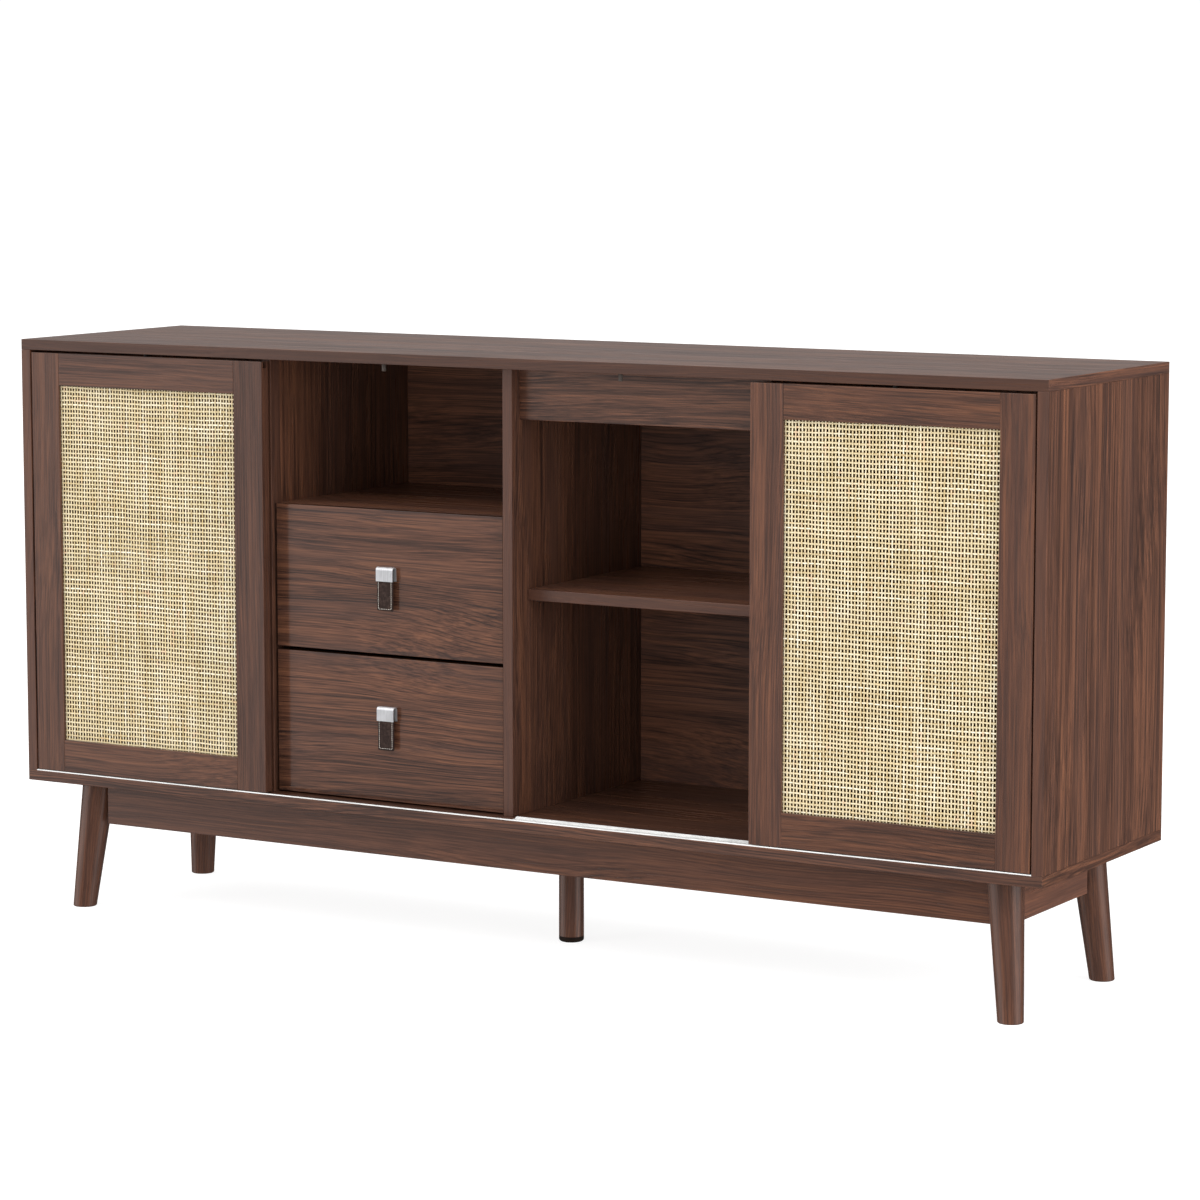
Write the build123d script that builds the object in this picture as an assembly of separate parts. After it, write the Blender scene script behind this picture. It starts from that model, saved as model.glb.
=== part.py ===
from build123d import *
import os

os.makedirs("parts", exist_ok=True)

# Sideboard with two sliding cane doors, two drawers and an open bay.
# Millimetres. Origin at the centre of the footprint on the floor; front faces -Y, up is +Z.

# ---- driving dimensions -------------------------------------------------------------------
WIDTH = 1600.0
DEPTH = 385.0
HEIGHT = 825.0
BOARD = 15.0
LEG_HEIGHT = 187.0
OUTER_BAY = 385.0            # clear width of each bay behind a door
EDGE = 0.6                   # eased edge of the boards

# distances behind the carcass front edge
DOOR_SETBACK = 0.5
DIVIDER_SETBACK = 25.5
DRAWER_SETBACK = 31.5
FASCIA_SETBACK = 45.0
SHELF_SETBACK = 65.0

# doors
DOOR_WIDTH = 400.0
DOOR_THICK = 16.0
DOOR_SIDE_GAP = 2.5
DOOR_TOP_GAP = 3.5
DOOR_FLOOR_GAP = 2.3
STILE = 48.0
RAIL = 46.0
CANE_RECESS = 4.0
CANE_THICK = 2.0
REBATE = 8.0
GUIDE_GROOVE = 8.0
GUIDE_GROOVE_DEPTH = 9.0
GUIDE_PIN_R = 3.0
GUIDE_PIN_DROP = 10.0
GUIDE_PIN_X = 185.5

# track
LIP_INSET = 0.2
LIP_DEPTH = 2.5
LIP_HEIGHT = 1.4
CHANNEL_SHEET = 1.0
CHANNEL_WALL = 1.2
CHANNEL_HEIGHT = 2.8
CHANNEL_PLAY = 1.5           # between a door's back and the channel's rear wall
CHANNEL_START_X = 16.0

# drawers
DRAWER_FRONT_HEIGHT = 199.3
DRAWER_GAP = 5.0
DRAWER_FLOOR_GAP = 2.5
DRAWER_SIDE_GAP = 3.7
DRAWER_LENGTH = 300.0
DRAWER_WALL = 12.0
DRAWER_WALL_HEIGHT = 140.0
DRAWER_WALL_RISE = 18.0
DRAWER_BOTTOM = 4.0
DRAWER_BOTTOM_RISE = 10.0
GROOVE_DEPTH = 6.0
SLIDE_SPACE = 12.75
SLIDE_HEIGHT = 35.0
SLIDE_DEPTH = 10.0
SLIDE_SHEET = 1.2
SLIDE_PLAY = 1.8

# pulls
CLIP_WIDTH = 27.0
CLIP_HEIGHT = 19.5
CLIP_DEPTH = 10.0
CLIP_SHEET = 1.2
CLIP_RADIUS = 4.5
TAB_WIDTH = 25.6
TAB_THICK = 3.0
TAB_IN_CLIP = 12.0
PULL_HEIGHT = 60.0

# interior
FASCIA_HEIGHT = 70.0
MID_SHELF_TOP = 321.5        # above the carcass underside
BACK_THICK = 5.0
BACK_INSET = 6.0
PIN_R = 2.5
PIN_LENGTH = 14.0
PIN_IN_PANEL = 7.0
PIN_Y = 110.0
CAM_R = 7.5
CAM_DEPTH = 12.0
CAM_EDGE = 34.0
CAM_Y = 120.0
FIT = 0.1                    # play of a disc or pin in its hole

# base
APRON_HEIGHT = 63.5
APRON_SETBACK_Y = 50.0
APRON_X = 733.0              # outer face of each side apron
APRON_FRONT_END = 707.0      # right end of the front apron before it is scribed to the leg
LEG_X = 720.5                # leg centre at the carcass
LEG_Y = 128.0
LEG_SPLAY = 17.5             # outward lean of the foot along X and along Y
LEG_TOP_R = 24.4
LEG_FOOT_R = 17.0
LEG_EDGE = 1.5
MIDDLE_LEG_R = 17.5
CAP_HEIGHT = 8.0
CAP_ROUND = 4.0

# ---- places worked out from them ----------------------------------------------------------
FRONT = -DEPTH / 2
BACK = DEPTH / 2
CARCASS_Z = LEG_HEIGHT
FLOOR_Z = CARCASS_Z + BOARD
CEILING_Z = HEIGHT - BOARD
INNER_X = WIDTH / 2 - BOARD
DIVIDER_X = INNER_X - OUTER_BAY - BOARD / 2
DIVIDER_FACE = DIVIDER_X - BOARD / 2
BACK_FACE = BACK - BACK_INSET - BACK_THICK
BAY_CENTRE = (DIVIDER_FACE + BOARD / 2) / 2
DOOR_X = INNER_X - DOOR_SIDE_GAP - DOOR_WIDTH / 2
DOOR_Y = FRONT + DOOR_SETBACK
DOOR_Z0 = FLOOR_Z + DOOR_FLOOR_GAP
DOOR_Z1 = CEILING_Z - DOOR_TOP_GAP
DOOR_MID_Y = DOOR_Y + DOOR_THICK / 2
CHANNEL_Y0 = FRONT + LIP_INSET + LIP_DEPTH
CHANNEL_Y1 = DOOR_Y + DOOR_THICK + CHANNEL_PLAY + CHANNEL_WALL
DRAWER_Y = FRONT + DRAWER_SETBACK
DRAWER_X0 = -DIVIDER_FACE + DRAWER_SIDE_GAP
DRAWER_X1 = -BOARD / 2 - DRAWER_SIDE_GAP
LOWER_Z = FLOOR_Z + DRAWER_FLOOR_GAP
UPPER_Z = LOWER_Z + DRAWER_FRONT_HEIGHT + DRAWER_GAP
DRAWER_SHELF_TOP = UPPER_Z + DRAWER_FRONT_HEIGHT
WALL_X0 = -DIVIDER_FACE + SLIDE_SPACE
WALL_X1 = -BOARD / 2 - SLIDE_SPACE
MID_SHELF_Z = CARCASS_Z + MID_SHELF_TOP
UPPER_PULL_TOP = CARCASS_Z + 343.0
LOWER_PULL_TOP = CARCASS_Z + 149.5


def block(x0, x1, y0, y1, z0, z1):
    size = Box(x1 - x0, y1 - y0, z1 - z0)
    return Pos((x0 + x1) / 2, (y0 + y1) / 2, (z0 + z1) / 2) * size


def board(x0, x1, y0, y1, z0, z1):
    plain = block(x0, x1, y0, y1, z0, z1)
    return fillet(plain.edges(), EDGE)


def rod_x(x0, x1, y, z, r):
    return Pos((x0 + x1) / 2, y, z) * Rot(0, 90, 0) * Cylinder(r, x1 - x0)


def rod_z(x, y, z0, z1, r):
    return Pos(x, y, (z0 + z1) / 2) * Cylinder(r, z1 - z0)


def group(solids):
    return Compound(children=[s.solid() for s in solids])


def save(shape, node):
    export_step(shape, f"parts/{node}.step")


# ---- carcass ------------------------------------------------------------------------------
def cam_places(x_face, inward):
    """Centre of each cam lock's face in an upright board: inward is +1 or -1 along X."""
    places = []
    for y in (-CAM_Y, CAM_Y):
        for z in (FLOOR_Z + CAM_EDGE, CEILING_Z - CAM_EDGE):
            places.append((x_face, inward, y, z))
    return places


CAMS = (
    cam_places(-INNER_X, -1)
    + cam_places(INNER_X, 1)
    + cam_places(-DIVIDER_X - BOARD / 2, 1)
    + cam_places(-BOARD / 2, 1)
    + cam_places(DIVIDER_X + BOARD / 2, -1)
)


def cam(place, r, depth):
    x, inward, y, z = place
    return rod_x(min(x, x + inward * depth), max(x, x + inward * depth), y, z, r)


def pin_places():
    """Shelf pins: panel face, direction from the panel into the bay, and shelf underside."""
    under = MID_SHELF_Z - BOARD
    faces = [
        (-INNER_X, 1),
        (-DIVIDER_X - BOARD / 2, -1),
        (BOARD / 2, 1),
        (DIVIDER_FACE, -1),
        (DIVIDER_X + BOARD / 2, 1),
        (INNER_X, -1),
    ]
    return [(x, way, y, under - PIN_R) for x, way in faces for y in (-PIN_Y + 10, PIN_Y)]


def shelf_pin(place, r):
    x, way, y, z = place
    x0 = x - way * PIN_IN_PANEL
    x1 = x0 + way * PIN_LENGTH
    return rod_x(min(x0, x1), max(x0, x1), y, z, r)


def upright(x_mid, y0, y1, z0, z1):
    """A vertical board with the pockets of its cam locks and the holes of its shelf pins."""
    part = board(x_mid - BOARD / 2, x_mid + BOARD / 2, y0, y1, z0, z1)
    for place in CAMS:
        if abs(place[0] - x_mid) < BOARD:
            part -= cam(place, CAM_R + FIT, CAM_DEPTH + FIT)
    for place in pin_places():
        if abs(place[0] - x_mid) < BOARD:
            x, way, y, z = place
            near = x - way * (PIN_IN_PANEL + FIT)
            part -= rod_x(min(near, x), max(near, x), y, z, PIN_R + FIT / 2)
    return part


def top_panel():
    part = board(-WIDTH / 2, WIDTH / 2, FRONT, BACK, CEILING_Z, HEIGHT)
    for x, y in guide_places():
        part -= rod_z(x, y, CEILING_Z, CEILING_Z + GUIDE_PIN_DROP * 0.8, GUIDE_PIN_R + FIT / 2)
    return part


def bottom_panel():
    part = board(-WIDTH / 2, WIDTH / 2, FRONT, BACK, CARCASS_Z, FLOOR_Z)
    z0 = FLOOR_Z - CHANNEL_SHEET
    return part - block(CHANNEL_START_X, INNER_X, CHANNEL_Y0, CHANNEL_Y1, z0, FLOOR_Z + 1)


def back_panel(side):
    x0, x1 = sorted((0.0, side * INNER_X))
    return block(x0, x1, BACK_FACE, BACK_FACE + BACK_THICK, FLOOR_Z, CEILING_Z)


def shelf(x0, x1, setback, z_top):
    return board(x0, x1, FRONT + setback, BACK_FACE, z_top - BOARD, z_top)


def fascia_rail():
    y0 = FRONT + FASCIA_SETBACK
    return board(BOARD / 2, DIVIDER_FACE, y0, y0 + BOARD, CEILING_Z - FASCIA_HEIGHT, CEILING_Z)


# ---- track and guides ---------------------------------------------------------------------
def track_front_lip():
    y0 = FRONT + LIP_INSET
    lip = block(-INNER_X, INNER_X, y0, y0 + LIP_DEPTH, FLOOR_Z, FLOOR_Z + LIP_HEIGHT)
    return fillet(lip.edges().filter_by(Axis.X).group_by(Axis.Z)[-1], LIP_HEIGHT * 0.25)


def track_channel():
    """The bed and rear wall of the track right of the centre divider, let into the floor."""
    z0 = FLOOR_Z - CHANNEL_SHEET
    y_wall = CHANNEL_Y1 - CHANNEL_WALL
    bed = block(CHANNEL_START_X, INNER_X, CHANNEL_Y0, CHANNEL_Y1, z0, FLOOR_Z)
    wall = block(CHANNEL_START_X, INNER_X, y_wall, CHANNEL_Y1, z0, FLOOR_Z + CHANNEL_HEIGHT)
    corner = wall.edges().filter_by(Axis.Y).group_by(Axis.Z)[-1].sort_by(Axis.X)[0]
    return bed + fillet(corner, CHANNEL_HEIGHT * 0.9)


def guide_places():
    return [
        (side * (GUIDE_PIN_X + step), DOOR_MID_Y)
        for side in (-1, 1)
        for step in (0.0, DOOR_WIDTH)
    ]


def door_guide_pins():
    pins = []
    for x, y in guide_places():
        z0 = CEILING_Z - GUIDE_PIN_DROP
        z1 = CEILING_Z + GUIDE_PIN_DROP * 0.8 - FIT
        pin = rod_z(x, y, z0, z1, GUIDE_PIN_R)
        pins.append(chamfer(pin.edges().group_by(Axis.Z)[0], 0.8))
    return group(pins)


# ---- base ---------------------------------------------------------------------------------
def apron_long(way, x1):
    """Front (way -1) or rear (way +1) apron, from the side of the left leg's top to x1."""
    outer = way * (BACK - APRON_SETBACK_Y)
    y0, y1 = sorted((outer, outer - way * BOARD))
    return board(LEG_TOP_R - LEG_X, x1, y0, y1, CARCASS_Z - APRON_HEIGHT, CARCASS_Z)


def apron_short(side):
    y = LEG_Y - LEG_TOP_R
    x0, x1 = sorted((side * APRON_X, side * (APRON_X - BOARD)))
    return board(x0, x1, -y, y, CARCASS_Z - APRON_HEIGHT, CARCASS_Z)


def leg(side, way):
    """A round leg, tapered and leaning outward towards its corner."""
    top = Pos(side * LEG_X, way * LEG_Y, CARCASS_Z) * Circle(LEG_TOP_R)
    foot = Pos(side * (LEG_X + LEG_SPLAY), way * (LEG_Y + LEG_SPLAY), 0) * Circle(LEG_FOOT_R)
    part = loft([foot.face(), top.face()])
    return chamfer(part.edges().group_by(Axis.Z)[0], LEG_EDGE * 0.7)


def middle_leg():
    return rod_z(0, 0, CAP_HEIGHT, CARCASS_Z, MIDDLE_LEG_R)


def middle_leg_cap():
    cap = rod_z(0, 0, 0, CAP_HEIGHT, MIDDLE_LEG_R)
    return fillet(cap.edges().group_by(Axis.Z)[0], CAP_ROUND)


# ---- doors --------------------------------------------------------------------------------
def door_groove(x_mid):
    y0 = DOOR_MID_Y - GUIDE_GROOVE / 2
    half = DOOR_WIDTH / 2 + 1
    z0 = DOOR_Z1 - GUIDE_GROOVE_DEPTH
    return block(x_mid - half, x_mid + half, y0, y0 + GUIDE_GROOVE, z0, DOOR_Z1 + 1)


def window(x_mid, grow):
    """The cane opening: left, right, bottom and top, grown outward."""
    half = DOOR_WIDTH / 2 - STILE + grow
    return x_mid - half, x_mid + half, DOOR_Z0 + RAIL - grow, DOOR_Z1 - RAIL + grow


def door_rebate(x_mid):
    x0, x1, z0, z1 = window(x_mid, REBATE)
    return block(x0, x1, DOOR_Y + CANE_RECESS, DOOR_Y + DOOR_THICK + 1, z0, z1)


def door_stile(x_mid, side):
    outer = x_mid + side * DOOR_WIDTH / 2
    x0, x1 = sorted((outer, outer - side * STILE))
    part = board(x0, x1, DOOR_Y, DOOR_Y + DOOR_THICK, DOOR_Z0, DOOR_Z1)
    return part - door_rebate(x_mid) - door_groove(x_mid)


def door_rail(x_mid, z0):
    half = DOOR_WIDTH / 2 - STILE
    part = board(x_mid - half, x_mid + half, DOOR_Y, DOOR_Y + DOOR_THICK, z0, z0 + RAIL)
    return part - door_rebate(x_mid) - door_groove(x_mid)


def cane_panel(x_mid):
    x0, x1, z0, z1 = window(x_mid, REBATE - 0.5)
    y0 = DOOR_Y + CANE_RECESS
    return block(x0, x1, y0, y0 + CANE_THICK, z0, z1)


def cane_beads(x_mid):
    """Four strips that hold the cane in the rebate from behind."""
    x0, x1, z0, z1 = window(x_mid, REBATE - 0.5)
    y0 = DOOR_Y + CANE_RECESS + CANE_THICK
    y1 = DOOR_Y + DOOR_THICK - 1.0
    w = REBATE - 0.5
    strips = [
        block(x0, x0 + w, y0, y1, z0, z1),
        block(x1 - w, x1, y0, y1, z0, z1),
        block(x0 + w, x1 - w, y0, y1, z0, z0 + w),
        block(x0 + w, x1 - w, y0, y1, z1 - w, z1),
    ]
    return group(strips)


def door_skids(x_mid):
    skids = []
    for side in (-1, 1):
        x = x_mid + side * (DOOR_WIDTH / 2 - STILE)
        y0 = DOOR_MID_Y - 4
        skids.append(block(x - 20, x + 20, y0, y0 + 8, FLOOR_Z + 0.2, DOOR_Z0))
    return group(skids)


def make_door(name, x_mid):
    save(door_stile(x_mid, -1), f"{name}_stile_left")
    save(door_stile(x_mid, 1), f"{name}_stile_right")
    save(door_rail(x_mid, DOOR_Z1 - RAIL), f"{name}_rail_top")
    save(door_rail(x_mid, DOOR_Z0), f"{name}_rail_bottom")
    save(cane_panel(x_mid), f"{name}_cane")
    save(cane_beads(x_mid), f"{name}_cane_beads")
    save(door_skids(x_mid), f"{name}_skids")


# ---- drawers ------------------------------------------------------------------------------
def drawer_floor(z_front, play):
    """The drawer's bottom sheet; play widens it into the groove that holds it."""
    z0 = z_front + DRAWER_WALL_RISE + DRAWER_BOTTOM_RISE - play
    x0 = WALL_X0 + DRAWER_WALL - GROOVE_DEPTH
    x1 = WALL_X1 - DRAWER_WALL + GROOVE_DEPTH
    y0 = DRAWER_Y + BOARD - GROOVE_DEPTH
    y1 = DRAWER_Y + BOARD + DRAWER_LENGTH - DRAWER_WALL + GROOVE_DEPTH
    return block(x0 - play, x1 + play, y0 - play, y1 + play, z0, z0 + DRAWER_BOTTOM + 2 * play)


def drawer_front(z_front):
    z1 = z_front + DRAWER_FRONT_HEIGHT
    part = board(DRAWER_X0, DRAWER_X1, DRAWER_Y, DRAWER_Y + BOARD, z_front, z1)
    return part - drawer_floor(z_front, FIT)


def drawer_side(z_front, side):
    outer = WALL_X1 if side > 0 else WALL_X0
    x0, x1 = sorted((outer, outer - side * DRAWER_WALL))
    y0 = DRAWER_Y + BOARD
    z0 = z_front + DRAWER_WALL_RISE
    part = block(x0, x1, y0, y0 + DRAWER_LENGTH, z0, z0 + DRAWER_WALL_HEIGHT)
    return part - drawer_floor(z_front, FIT)


def drawer_back(z_front):
    y1 = DRAWER_Y + BOARD + DRAWER_LENGTH
    z0 = z_front + DRAWER_WALL_RISE
    x0, x1 = WALL_X0 + DRAWER_WALL, WALL_X1 - DRAWER_WALL
    part = block(x0, x1, y1 - DRAWER_WALL, y1, z0, z0 + DRAWER_WALL_HEIGHT)
    return part - drawer_floor(z_front, FIT)


def slide_z(z_front):
    return z_front + DRAWER_WALL_RISE + DRAWER_WALL_HEIGHT / 2


def channel_x(x_web, way, height, depth, z_mid):
    """A C-section slide member: its web at x_web, its flanges pointing along way."""
    y0 = DRAWER_Y + BOARD + 2
    y1 = y0 + DRAWER_LENGTH - 2
    x0, x1 = sorted((x_web, x_web + way * depth))
    outer = block(x0, x1, y0, y1, z_mid - height / 2, z_mid + height / 2)
    a, b = sorted((x_web + way * SLIDE_SHEET, x_web + way * (depth + 1)))
    inside = height / 2 - SLIDE_SHEET
    return outer - block(a, b, y0 - 1, y1 + 1, z_mid - inside, z_mid + inside)


def slide_rails():
    rails = []
    for z_front in (LOWER_Z, UPPER_Z):
        z = slide_z(z_front)
        rails.append(channel_x(-DIVIDER_FACE, 1, SLIDE_HEIGHT, SLIDE_DEPTH, z))
        rails.append(channel_x(-BOARD / 2, -1, SLIDE_HEIGHT, SLIDE_DEPTH, z))
    return group(rails)


def drawer_runners(z_front):
    z = slide_z(z_front)
    height = SLIDE_HEIGHT - 2 * SLIDE_SHEET - 2 * SLIDE_PLAY
    depth = SLIDE_SPACE - SLIDE_SHEET - SLIDE_PLAY
    left = channel_x(WALL_X0, -1, height, depth, z)
    right = channel_x(WALL_X1, 1, height, depth, z)
    return group([left, right])


def handle_clip(z_top):
    """A folded sheet-metal clip on the drawer front, open at its lower end."""
    y1 = DRAWER_Y
    y0 = y1 - CLIP_DEPTH
    x0, x1 = BAY_X - CLIP_WIDTH / 2, BAY_X + CLIP_WIDTH / 2
    outer = block(x0, x1, y0, y1, z_top - CLIP_HEIGHT, z_top)
    outer = fillet(outer.edges().filter_by(Axis.X).group_by(Axis.Z)[-1], CLIP_RADIUS)
    t = CLIP_SHEET
    inner = block(x0 - 1, x1 + 1, y0 + t, y1 - t, z_top - CLIP_HEIGHT - 1, z_top - t)
    inner = fillet(inner.edges().filter_by(Axis.X).group_by(Axis.Z)[-1], CLIP_RADIUS - t)
    return outer - inner


def handle_tab(z_top):
    y0 = DRAWER_Y - CLIP_DEPTH + CLIP_SHEET
    z1 = z_top - CLIP_HEIGHT + TAB_IN_CLIP
    x0, x1 = BAY_X - TAB_WIDTH / 2, BAY_X + TAB_WIDTH / 2
    tab = block(x0, x1, y0, y0 + TAB_THICK, z_top - PULL_HEIGHT, z1)
    return chamfer(tab.edges().filter_by(Axis.Z), 0.4)


BAY_X = -BAY_CENTRE


def make_drawer(name, z_front, pull_top):
    save(drawer_front(z_front), f"{name}_front")
    save(drawer_side(z_front, -1), f"{name}_side_left")
    save(drawer_side(z_front, 1), f"{name}_side_right")
    save(drawer_back(z_front), f"{name}_back")
    save(drawer_floor(z_front, 0.0), f"{name}_bottom")
    save(drawer_runners(z_front), f"{name}_runners")
    save(handle_clip(pull_top), f"{name}_handle_clip")
    save(handle_tab(pull_top), f"{name}_handle_tab")


# ---- write every node ---------------------------------------------------------------------
save(top_panel(), "top_panel")
save(bottom_panel(), "bottom_panel")
save(upright(-WIDTH / 2 + BOARD / 2, FRONT, BACK, FLOOR_Z, CEILING_Z), "side_panel_left")
save(upright(WIDTH / 2 - BOARD / 2, FRONT, BACK, FLOOR_Z, CEILING_Z), "side_panel_right")
DIVIDER_FRONT = FRONT + DIVIDER_SETBACK
save(upright(-DIVIDER_X, DIVIDER_FRONT, BACK_FACE, FLOOR_Z, CEILING_Z), "divider_left")
save(upright(0.0, DIVIDER_FRONT, BACK_FACE, FLOOR_Z, CEILING_Z), "divider_center")
save(upright(DIVIDER_X, DIVIDER_FRONT, BACK_FACE, FLOOR_Z, CEILING_Z), "divider_right")
save(back_panel(-1), "back_panel_left")
save(back_panel(1), "back_panel_right")
OUTER_FACE = DIVIDER_X + BOARD / 2
DRAWER_SHELF_SETBACK = DRAWER_SETBACK + BOARD + 1
save(shelf(-DIVIDER_FACE, -BOARD / 2, DRAWER_SHELF_SETBACK, DRAWER_SHELF_TOP), "drawer_bay_shelf")
save(shelf(BOARD / 2 + 0.5, DIVIDER_FACE - 0.5, SHELF_SETBACK, MID_SHELF_Z), "open_bay_shelf")
save(shelf(-INNER_X + 0.5, -OUTER_FACE - 0.5, SHELF_SETBACK, MID_SHELF_Z), "shelf_left")
save(shelf(OUTER_FACE + 0.5, INNER_X - 0.5, SHELF_SETBACK, MID_SHELF_Z), "shelf_right")
save(fascia_rail(), "fascia_rail")
save(track_front_lip(), "track_front_lip")
save(track_channel(), "track_channel")
save(door_guide_pins(), "door_guide_pins")
save(group([shelf_pin(p, PIN_R) for p in pin_places()]), "shelf_pins")
save(group([cam(p, CAM_R, CAM_DEPTH) for p in CAMS]), "cam_locks")
save(slide_rails(), "slide_rails")

# the right end of the front apron is scribed to the leg's slanted face
save(apron_long(-1, APRON_FRONT_END) - leg(1, -1), "apron_front")
save(apron_long(1, LEG_X - LEG_TOP_R), "apron_rear")
save(apron_short(-1), "apron_left")
save(apron_short(1), "apron_right")
for corner, side, way in (
    ("front_left", -1, -1),
    ("front_right", 1, -1),
    ("rear_left", -1, 1),
    ("rear_right", 1, 1),
):
    save(leg(side, way), f"leg_{corner}")
save(middle_leg(), "middle_leg")
save(middle_leg_cap(), "middle_leg_cap")

make_door("door_left", -DOOR_X)
make_door("door_right", DOOR_X)
make_drawer("drawer_upper", UPPER_Z, UPPER_PULL_TOP)
make_drawer("drawer_lower", LOWER_Z, LOWER_PULL_TOP)
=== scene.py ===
import math
import random

import bpy
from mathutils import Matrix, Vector


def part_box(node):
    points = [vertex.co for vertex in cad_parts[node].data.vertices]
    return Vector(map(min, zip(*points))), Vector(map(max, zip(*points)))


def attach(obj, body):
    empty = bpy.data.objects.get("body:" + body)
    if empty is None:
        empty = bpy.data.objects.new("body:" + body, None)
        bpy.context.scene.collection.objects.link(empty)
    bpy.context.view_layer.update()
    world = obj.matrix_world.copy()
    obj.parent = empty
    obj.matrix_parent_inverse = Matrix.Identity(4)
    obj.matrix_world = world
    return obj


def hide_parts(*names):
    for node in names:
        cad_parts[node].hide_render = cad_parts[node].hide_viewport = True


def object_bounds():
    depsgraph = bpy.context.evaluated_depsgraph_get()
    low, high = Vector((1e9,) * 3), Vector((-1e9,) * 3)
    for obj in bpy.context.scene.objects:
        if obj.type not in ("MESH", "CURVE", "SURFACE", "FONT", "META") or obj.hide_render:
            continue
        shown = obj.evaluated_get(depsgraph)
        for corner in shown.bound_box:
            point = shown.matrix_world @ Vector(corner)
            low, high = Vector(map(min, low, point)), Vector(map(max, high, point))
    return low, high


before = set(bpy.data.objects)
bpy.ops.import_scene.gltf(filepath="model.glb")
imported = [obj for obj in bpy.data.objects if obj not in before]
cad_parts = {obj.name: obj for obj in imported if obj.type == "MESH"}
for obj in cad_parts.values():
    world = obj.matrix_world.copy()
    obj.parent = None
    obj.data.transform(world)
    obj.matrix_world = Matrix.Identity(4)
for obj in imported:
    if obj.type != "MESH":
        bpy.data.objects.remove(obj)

# Sideboard with sliding cane doors: looks, light and camera around the CAD frame. Metres.

CAD_BOX = [list(corner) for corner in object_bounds()]
MM = 0.001

# ---- viewpoint ----------------------------------------------------------------------------
CAMERA_AZIMUTH = 30.40       # degrees
CAMERA_ELEVATION = 7.234
CAMERA_DISTANCE = 5.588
CAMERA_LENS = 121.87
SENSOR_WIDTH = 36.0
TARGET_RIGHT = 0.0461        # aim point, from the middle of the object's box
TARGET_UP = 0.0697

# ---- woven cane ---------------------------------------------------------------------------
WARP_PITCH = 4.79 * MM
WARP_HALF_WIDTH = 1.20 * MM
WEFT_PITCH = 6.25 * MM
WEFT_HALF_WIDTH = 1.32 * MM
STRAND_HALF_THICK = 0.34 * MM
WEAVE_RISE = 0.42 * MM       # how far a strand swings to each side of the cloth's middle
ROW_WAVE = 0.6 * MM          # slow crowding and spreading of the rows
ROW_WAVE_LENGTH = 98 * MM
ROW_BOW = 0.45 * MM          # how far a row wanders along its length

# ---- leather tabs -------------------------------------------------------------------------
TAB_CORNER = 1.6 * MM
STITCH_INSET = 2.4 * MM
STITCH_PITCH = 2.8 * MM
STITCH_LENGTH = 1.85 * MM
STITCH_RADIUS = 0.33 * MM
STITCH_STOP = 9 * MM         # the stitches end this far below the strap's top, inside the clip
STITCH_SINK = 0.09           # depth of the channel they lie in, as a share of the strap's thickness


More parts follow.
